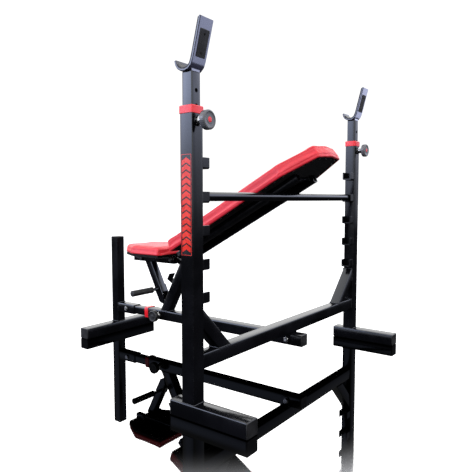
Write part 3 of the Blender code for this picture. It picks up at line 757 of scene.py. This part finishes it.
def plunger_sleeve(name, body, at, axis, start, shoulder, end):
    """Zinc-plated nut and threaded barrel round a plunger housing."""
    made = Builder()
    flats, turns = 0.0262, 9
    made.turned(at, axis, [
        (start, 0.0136), (start, hexagon(flats, 0.0148)), (start + 0.0010, hexagon(flats, 0.0152)),
        (shoulder - 0.0014, hexagon(flats, 0.0152)), (shoulder, hexagon(flats, 0.0142)),
        (shoulder + 0.0002, 0.0108), (start + 0.0002, 0.0108)], 96, ring=True)
    profile = [(shoulder, 0.0106)]
    step = (end - shoulder) / turns
    for i in range(turns):
        profile += [(shoulder + step * i, 0.0112), (shoulder + step * (i + 0.35), 0.0118),
                    (shoulder + step * (i + 0.7), 0.0112)]
    profile += [(end, 0.0110), (end + 0.0003, 0.0100), (end + 0.0003, 0.0070), (end - 0.004, 0.0070),
                (shoulder, 0.0100)]
    made.turned(at, axis, profile, 48, ring=True)
    made.piece(name, ZINC, body, 30)


def ribbed_grip():
    """Rubber hand grip with a flange at each end and rounded ribs."""
    low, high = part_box("handle_grip")
    c = (low + high) / 2
    outer = (high.z - low.z) / 2
    inner = 0.0074
    ribs = 13
    start, end = low.x + 0.010, high.x - 0.012
    profile = [(low.x, inner), (low.x, outer * 0.93), (low.x + 0.0012, outer), (low.x + 0.005, outer),
               (low.x + 0.0065, outer * 0.86)]
    pitch = (end - start) / ribs
    for i in range(ribs):
        x = start + pitch * i
        profile += [(x, outer * 0.86), (x + 0.18 * pitch, outer * 0.95), (x + 0.40 * pitch, outer * 0.985),
                    (x + 0.62 * pitch, outer * 0.95), (x + 0.80 * pitch, outer * 0.86)]
    profile += [(end + 0.002, outer * 0.86), (end + 0.0035, outer), (high.x - 0.003, outer),
                (high.x - 0.0008, outer * 0.86), (high.x, outer * 0.60), (high.x, 0.002),
                (high.x - 0.0074, 0.002), (high.x - 0.0074, inner)]
    made = Builder()
    made.turned((0, c.y, c.z), X, profile, 48, ring=True)
    grip = made.piece("handle_grip_sleeve", RUBBER, "strut", 40)
    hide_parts("handle_grip")


def pan_screw(made, at, out, radius, height):
    """Pan head with a cross recess cut as four-fold waves in its crown."""
    def cross(scale):
        return lambda a: radius * scale * (0.55 + 0.45 * abs(math.cos(2 * a)) ** 4)
    made.turned(at, out, [(-0.001, radius * 0.98), (0, radius), (height * 0.45, radius * 0.97),
                          (height * 0.85, radius * 0.76), (height, radius * 0.55), (height, cross(0.42)),
                          (height * 0.45, cross(0.36)), (height * 0.45, 0.0003)], 32)


# ---- weld beads ---------------------------------------------------------------------------------
WELD_STEP = 0.0011                 # between points of a bead's path
SOCKET_HALF = 0.02325              # half width of the socket on the front post


def straight(a, b, step=WELD_STEP):
    a, b = Vector(a), Vector(b)
    count = max(2, round((b - a).length / step))
    return [a.lerp(b, k / count) for k in range(count + 1)]


def rectangle(centre, u, v, half_u, half_v, r=0.004):
    """Closed path round a tube: a rectangle with rounded corners."""
    corners = [(-half_u, -half_v, r), (half_u, -half_v, r), (half_u, half_v, r), (-half_u, half_v, r)]
    even = resample(fillet(corners, 4), WELD_STEP)
    return [Vector(centre) + Vector(u) * p.x + Vector(v) * p.y for p in even]


def ring_path(centre, axis, radius):
    axis = Vector(axis)
    u = axis.orthogonal().normalized()
    v = axis.cross(u).normalized()
    count = round(2 * math.pi * radius / WELD_STEP)
    around = [2 * math.pi * k / count for k in range(count)]
    return [Vector(centre) + (u * math.cos(a) + v * math.sin(a)) * radius for a in around]


def welds(name, body, closed_paths=(), open_paths=(), radius=0.0021):
    made = Builder()
    for path in closed_paths:
        made.pipe(path, radius, 8, closed=True, ripple=0.13, pitch=0.0036)
    for path in open_paths:
        made.pipe(path, radius, 8, ripple=0.13, pitch=0.0036)
    made.piece(name, COAT, body, 60)


def tie_weld(along, side, rail_bottom):
    """Path round one end of a backrest tie, where it meets the inside of a rail."""
    half_long, half_deep = 0.0125, 0.0070
    centre = ALONG * along + OUT * (rail_bottom + 0.021) + X * (side * 0.0498)
    corners = [(-half_long, -half_deep, 0.002), (half_long, -half_deep, 0.002), (half_long, half_deep, 0.002),
               (-half_long, half_deep, 0.002)]
    return [centre + ALONG * p.x + OUT * p.y for p in resample(fillet(corners, 3), WELD_STEP)]


def rack_side_welds(tag, sx):
    """Upright to foot, cross beam and brace, brace to beam, plunger housing, saddles, hook."""
    x, face = sx * RACK_X, sx * (RACK_X - UP_HALF)
    brace_low, brace_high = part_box(f"brace_{tag}")
    brace_y, brace_half = (brace_low.y + brace_high.y) / 2, (brace_high.y - brace_low.y) / 2
    slant = brace_half * math.sqrt(2)               # half of the 45 degree cut through the brace
    beam_y, beam_half_y = (CROSS_Y[0] + CROSS_Y[1]) / 2, (CROSS_Y[1] - CROSS_Y[0]) / 2
    beam_z, beam_half_z = (CROSS_Z[0] + CROSS_Z[1]) / 2, (CROSS_Z[1] - CROSS_Z[0]) / 2
    brace_foot = face - sx * (brace_high.z - slant - CROSS_Z[1])
    welds(f"rack_welds_{tag}", "base", [
        rectangle((x, RACK_Y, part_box("rear_foot_near")[1].z), X, Y, UP_HALF, UP_HALF),
        rectangle((face, beam_y, beam_z), Y, Z, beam_half_y, beam_half_z),
        rectangle((face, brace_y, brace_high.z - slant), Y, Z, brace_half, slant),
        rectangle((brace_foot, brace_y, CROSS_Z[1]), X, Y, slant, brace_half),
        ring_path((x, RACK_Y + UP_HALF, middle(f"knob_{tag}").z), Y, 0.0140)])
    edges = []
    for i in range(1, 6):
        low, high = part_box(f"saddle_{tag}_{i}")
        for y in (low.y, high.y):
            edges.append(straight((face, y, low.z + 0.004), (face, y, high.z - 0.001)))
        edges.append(straight((face, low.y + 0.004, low.z), (face, high.y - 0.004, low.z)))
    welds(f"saddle_welds_{tag}", "base", (), edges, 0.0016)
    half = size_of(f"inner_upright_{tag}").x / 2 - 0.0014
    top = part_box(f"inner_upright_{tag}")[1].z
    welds(f"hook_welds_{tag}", f"hook_post_{tag}", [rectangle((x, RACK_Y, top), X, Y, half, half)], (),
          0.0018)


def seat_post_foot():
    """Path round the foot of the leaning seat post, on top of the main beam."""
    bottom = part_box("seat_post")[0].z + 0.0005
    low_y, high_y = reach("seat_post", Y, lambda p: p.z < bottom)
    half_x = reach("seat_post", X, lambda p: p.z < bottom)[1]
    return rectangle((0, (low_y + high_y) / 2, CROSS_Z[0]), X, Y, half_x, (high_y - low_y) / 2)


def make_welds():
    for tag, sx in SIDES:
        rack_side_welds(tag, sx)
    welds("seat_post_welds", "base", [seat_post_foot()])
    post_low_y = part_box("front_post")[0].y
    half = (POST_FACE_Y - post_low_y) / 2
    welds("front_post_welds", "front_leg", [
        rectangle((0, (post_low_y + POST_FACE_Y) / 2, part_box("rear_foot_near")[1].z), X, Y, half, half),
        rectangle((0, POST_FACE_Y, middle("inner_beam").z), X, Z, SOCKET_HALF, SOCKET_HALF)])
    rail_bottom = reach("backrest_frame", OUT)[0]
    welds("backrest_frame_welds", "backrest",
          [tie_weld(along, side, rail_bottom) for along in TIE_S for side in (-1, 1)], (), 0.0014)


# ---- graphic on the uprights --------------------------------------------------------------------
def chevron(v, half, rise, stroke):
    return [(-half, v), (0, v + rise), (half, v), (half, v + stroke), (0, v + rise + stroke),
            (-half, v + stroke)]


def panel(half, z0, z1, radius):
    """Upright rectangle with rounded corners, in the plane of a face."""
    return fillet([(-half, z0, radius), (half, z0, radius), (half, z1, radius), (-half, z1, radius)], 4)


def make_graphics():
    """A plain film strip with a thin red frame and a stack of chevrons: no lettering."""
    z0, z1, half = 0.510, 0.815, 0.0215
    margin, line = 0.0012, 0.0013                   # of the red frame
    wide, gap, stroke, rise = 0.0168, 0.0050, 0.0150, 0.0095
    lift = (0.0001, 0.00042)
    for tag, sx in SIDES:
        face = Matrix.Translation((sx * (RACK_X + UP_HALF), RACK_Y, 0)) @ Matrix(
            ((0, 0, sx, 0), (sx, 0, 0, 0), (0, 1, 0, 0), (0, 0, 0, 1)))
        film = Builder()
        film.plate(panel(half, z0, z1, 0.003), (-0.0002, 0.00025), face)
        film.piece(f"side_graphic_film_{tag}", INK_BLACK, "base", 30)
        ink = Builder()
        outer = panel(half - margin, z0 + margin, z1 - margin, 0.002)
        inner = panel(half - margin - line, z0 + margin + line, z1 - margin - line, 0.001)
        ink.loft([[face @ Vector((p[0], p[1], h)) for p in path] for path, h in (
            (outer, lift[0]), (outer, lift[1]), (inner, lift[1]), (inner, lift[0]))], ring=True)
        v = z0 + 0.010
        while v + stroke + rise < z1 - 0.008:
            ink.plate(chevron(v, wide, rise, stroke), lift, face)
            v += stroke + gap
        ink.piece(f"side_graphic_print_{tag}", INK_RED, "base", 30)


# ---- hooks --------------------------------------------------------------------------------------
MIRRORED = {"near": (-0.64, 0.76, -0.14), "far": (-0.86, 0.50, -0.09)}  # way that the hooks' backs mirror
HOOK_LEAN = 0.27                   # how far the straight part leans back, per unit of height
LIGHT_GAP = 1.3


def make_hook_lights():
    """A soft light for each hook alone, where the back of the hook mirrors it."""
    for tag, _ in SIDES:
        data = bpy.data.lights.new(f"hook_light_{tag}", "AREA")
        data.shape, data.size, data.energy, data.color = "SQUARE", 1.0, 11.0, (0.82, 0.87, 1.22)
        light = bpy.data.objects.new(f"hook_light_{tag}", data)
        bpy.context.scene.collection.objects.link(light)
        away = Vector(MIRRORED[tag]).normalized()
        light.location = middle(f"hook_{tag}") + Z * 0.05 + away * LIGHT_GAP
        light.rotation_euler = away.to_track_quat("Z", "Y").to_euler()
        light.visible_camera = False
        lit = bpy.data.collections.new(f"lit_{tag}")
        lit.objects.link(NODES[f"hook_{tag}"])
        light.light_linking.receiver_collection = lit


def make_hook_details():
    """Plastic backing plate on the back of each hook, and its two screws."""
    rear = (Y - Z * HOOK_LEAN).normalized()         # out of the back of the straight part
    up = (Z + Y * HOOK_LEAN).normalized()
    half, low, high, thick = 0.0205, -0.112, -0.032, 0.0018     # of the plate, from the hook's top
    for tag, sx in SIDES:
        top = reach(f"hook_{tag}", up)[1]
        back = reach(f"hook_{tag}", rear, lambda p: p.z > 1.13)[1]
        origin = rear * back + up * top + X * (sx * RACK_X)
        spot = Matrix.Translation(origin) @ Matrix((X, up, rear)).transposed().to_4x4()
        plate = Builder()
        corners = [(-half, low, 0.003), (half, low, 0.003), (half, high, 0.003), (-half, high, 0.003)]
        plate.loft([[spot @ Vector((p.x, p.y, h)) for p in inset(fillet(corners, 5), cut)]
                    for cut, h in ((0, -0.001), (0, 0.0010), (0.0010, thick))])
        plate.piece(f"hook_backing_{tag}", BLACK_PLASTIC, f"hook_post_{tag}", 30)
        screws = Builder()
        for v in (high - 0.013, low + 0.013):
            pan_screw(screws, spot @ Vector((0, v, thick)), rear, 0.0034, 0.0009)
        screws.piece(f"hook_screws_{tag}", BOARD, f"hook_post_{tag}", 30)


# ---- stage --------------------------------------------------------------------------------------
POLISHED = (0.89, 1.48)            # the floor is polished this near the middle, and matte further out


def make_floor():
    """Pale polished floor that mirrors the object, just below its feet."""
    r, z = 60.0, -0.0006
    s = Shader("pale_floor")
    haze = s.noise(3, 3.0)
    far = s.node("ShaderNodeVectorMath", {"Vector": s.place}, operation="LENGTH").outputs["Value"]
    matte = s.remap(far, *POLISHED, 0, 1)
    s.set(Base_Color=s.mix(haze, (0.95, 0.95, 0.95), (0.98, 0.98, 0.98)), Metallic=s.remap(matte, 0, 1, 1, 0),
          Roughness=s.math("ADD", s.remap(haze, 0.3, 0.7, 0.010, 0.02), s.remap(matte, 0, 1, 0, 0.2)))
    mesh = bpy.data.meshes.new("floor")
    mesh.from_pydata([(-r, -r, z), (r, -r, z), (r, r, z), (-r, r, z)], [], [(0, 1, 2, 3)])
    mesh.materials.append(s.material)
    floor = bpy.data.objects.new("floor", mesh)
    bpy.context.scene.collection.objects.link(floor)
    floor.visible_glossy = False
    floor.visible_diffuse = False


def make_world():
    """White studio: a bright cool window at +X -Y, a dimmer one across from it, dark below the floor."""
    world = bpy.data.worlds.new("studio")
    bpy.context.scene.world = world
    world.use_nodes = True
    tree = world.node_tree
    back = tree.nodes["Background"]

    def node(kind, **settings):
        made = tree.nodes.new(kind)
        for key, value in settings.items():
            setattr(made, key, value)
        return made

    def ramp(value, low, high, to_low, to_high):
        made = node("ShaderNodeMapRange", interpolation_type="SMOOTHSTEP")
        tree.links.new(value, made.inputs["Value"])
        for key, number in (("From Min", low), ("From Max", high), ("To Min", to_low), ("To Max", to_high)):
            made.inputs[key].default_value = number
        return made.outputs["Result"]

    def mix(factor, a, b):
        made = node("ShaderNodeMix", data_type="RGBA")
        tree.links.new(factor, made.inputs[0])
        for index, value in ((6, a), (7, b)):
            if isinstance(value, tuple):
                made.inputs[index].default_value = (*value, 1)
            else:
                tree.links.new(value, made.inputs[index])
        return made.outputs[2]

    direction = node("ShaderNodeTexCoord").outputs["Generated"]
    parts = node("ShaderNodeSeparateXYZ")
    tree.links.new(direction, parts.inputs[0])
    height = parts.outputs["Z"]

    def towards(x, y):
        made = node("ShaderNodeVectorMath", operation="DOT_PRODUCT")
        tree.links.new(direction, made.inputs[0])
        made.inputs[1].default_value = (x, y, 0)
        return made.outputs["Value"]

    window = mix(ramp(height, 0.0, 0.26, 0, 1), (0.9, 0.92, 1.0), (5.0, 5.5, 7.3))
    dim = mix(ramp(height, 0.0, 0.26, 0, 1), (0.35, 0.36, 0.42), (2.0, 2.1, 2.6))
    walls = mix(ramp(height, 0.04, 0.32, 0, 1), (1.1, 1.1, 1.1), (1.9, 1.9, 1.9))
    room = mix(ramp(towards(0.80, -0.60), 0.78, 0.94, 0, 1), walls, window)
    room = mix(ramp(towards(-0.80, 0.60), 0.76, 0.92, 0, 1), room, dim)
    room = mix(ramp(height, -0.05, -0.015, 0, 1), (0.012, 0.012, 0.014), room)
    path = node("ShaderNodeLightPath")
    past_mirror = node("ShaderNodeMath", operation="SUBTRACT")
    tree.links.new(path.outputs["Glossy Depth"], past_mirror.inputs[0])
    tree.links.new(path.outputs["Is Glossy Ray"], past_mirror.inputs[1])
    faint = node("ShaderNodeVectorMath", operation="SCALE")
    tree.links.new(room, faint.inputs[0])
    faint.inputs["Scale"].default_value = 0.03      # the object's image in the polished floor stays dark
    room = mix(ramp(past_mirror.outputs[0], 0.3, 0.7, 0, 1), room, faint.outputs[0])
    room = mix(path.outputs["Is Camera Ray"], room, (1.1, 1.1, 1.1))
    tree.links.new(room, back.inputs["Color"])
    back.inputs["Strength"].default_value = 1.0


def make_camera():
    data = bpy.data.cameras.new("camera")
    data.sensor_width = 36.0
    data.lens = 38.75
    data.clip_start, data.clip_end = 0.05, 200.0
    cam = bpy.data.objects.new("camera", data)
    bpy.context.scene.collection.objects.link(cam)
    cam.location = (1.7396, 1.44475, 0.6790)
    look = Vector((-0.79975, -0.59607, -0.07149))
    cam.rotation_mode = "QUATERNION"
    cam.rotation_quaternion = look.to_track_quat("-Z", "Y")
    bpy.context.scene.camera = cam
    bpy.context.scene.view_settings.view_transform = "Standard"


# ---- assembly -----------------------------------------------------------------------------------
def make_bolts():
    for node, body, steel in (("beam_bolt", "base", ZINC), ("socket_bolt", "front_leg", ZINC),
                              ("backrest_pin", "base", BLACK_OXIDE), ("seat_pin", "base", BLACK_OXIDE),
                              ("strut_pin", "seat", BLACK_OXIDE)):
        cross_bolt(node, body, steel)


def make_knobs():
    """The two knobs behind the uprights, and the one beside the main beam."""
    for tag, sx in SIDES:
        node = f"knob_{tag}"
        at = (sx * RACK_X, RACK_Y, middle(node).z)
        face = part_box(node)[1].y - RACK_Y
        pull_knob(node, f"knob_pin_{tag}", Y, at, face, face - 0.0225, size_of(node).x / 2, KNOB_PLASTIC,
                  RED_PLASTIC)
        plunger_sleeve(f"plunger_sleeve_{tag}", "base", at, Y, UP_HALF + 0.0002, 0.0325, 0.0495)
    at = (0, *middle("beam_knob").yz)
    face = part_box("beam_knob")[1].x
    pull_knob("beam_knob", "knob_pin_beam", X, at, face, face - 0.022, size_of("beam_knob").z / 2,
              BLACK_PLASTIC, BLACK_PLASTIC)
    plunger_sleeve("plunger_sleeve_beam", "base", at, X, 0.0238, 0.0305, 0.0465)


for node_name in NODES:
    dress(node_name)
upholster_backrest()
upholster_seat()
make_bolts()
make_knobs()
ribbed_grip()
make_welds()
make_graphics()
make_hook_details()
make_hook_lights()
make_floor()
make_world()
make_camera()

bpy.context.view_layer.update()
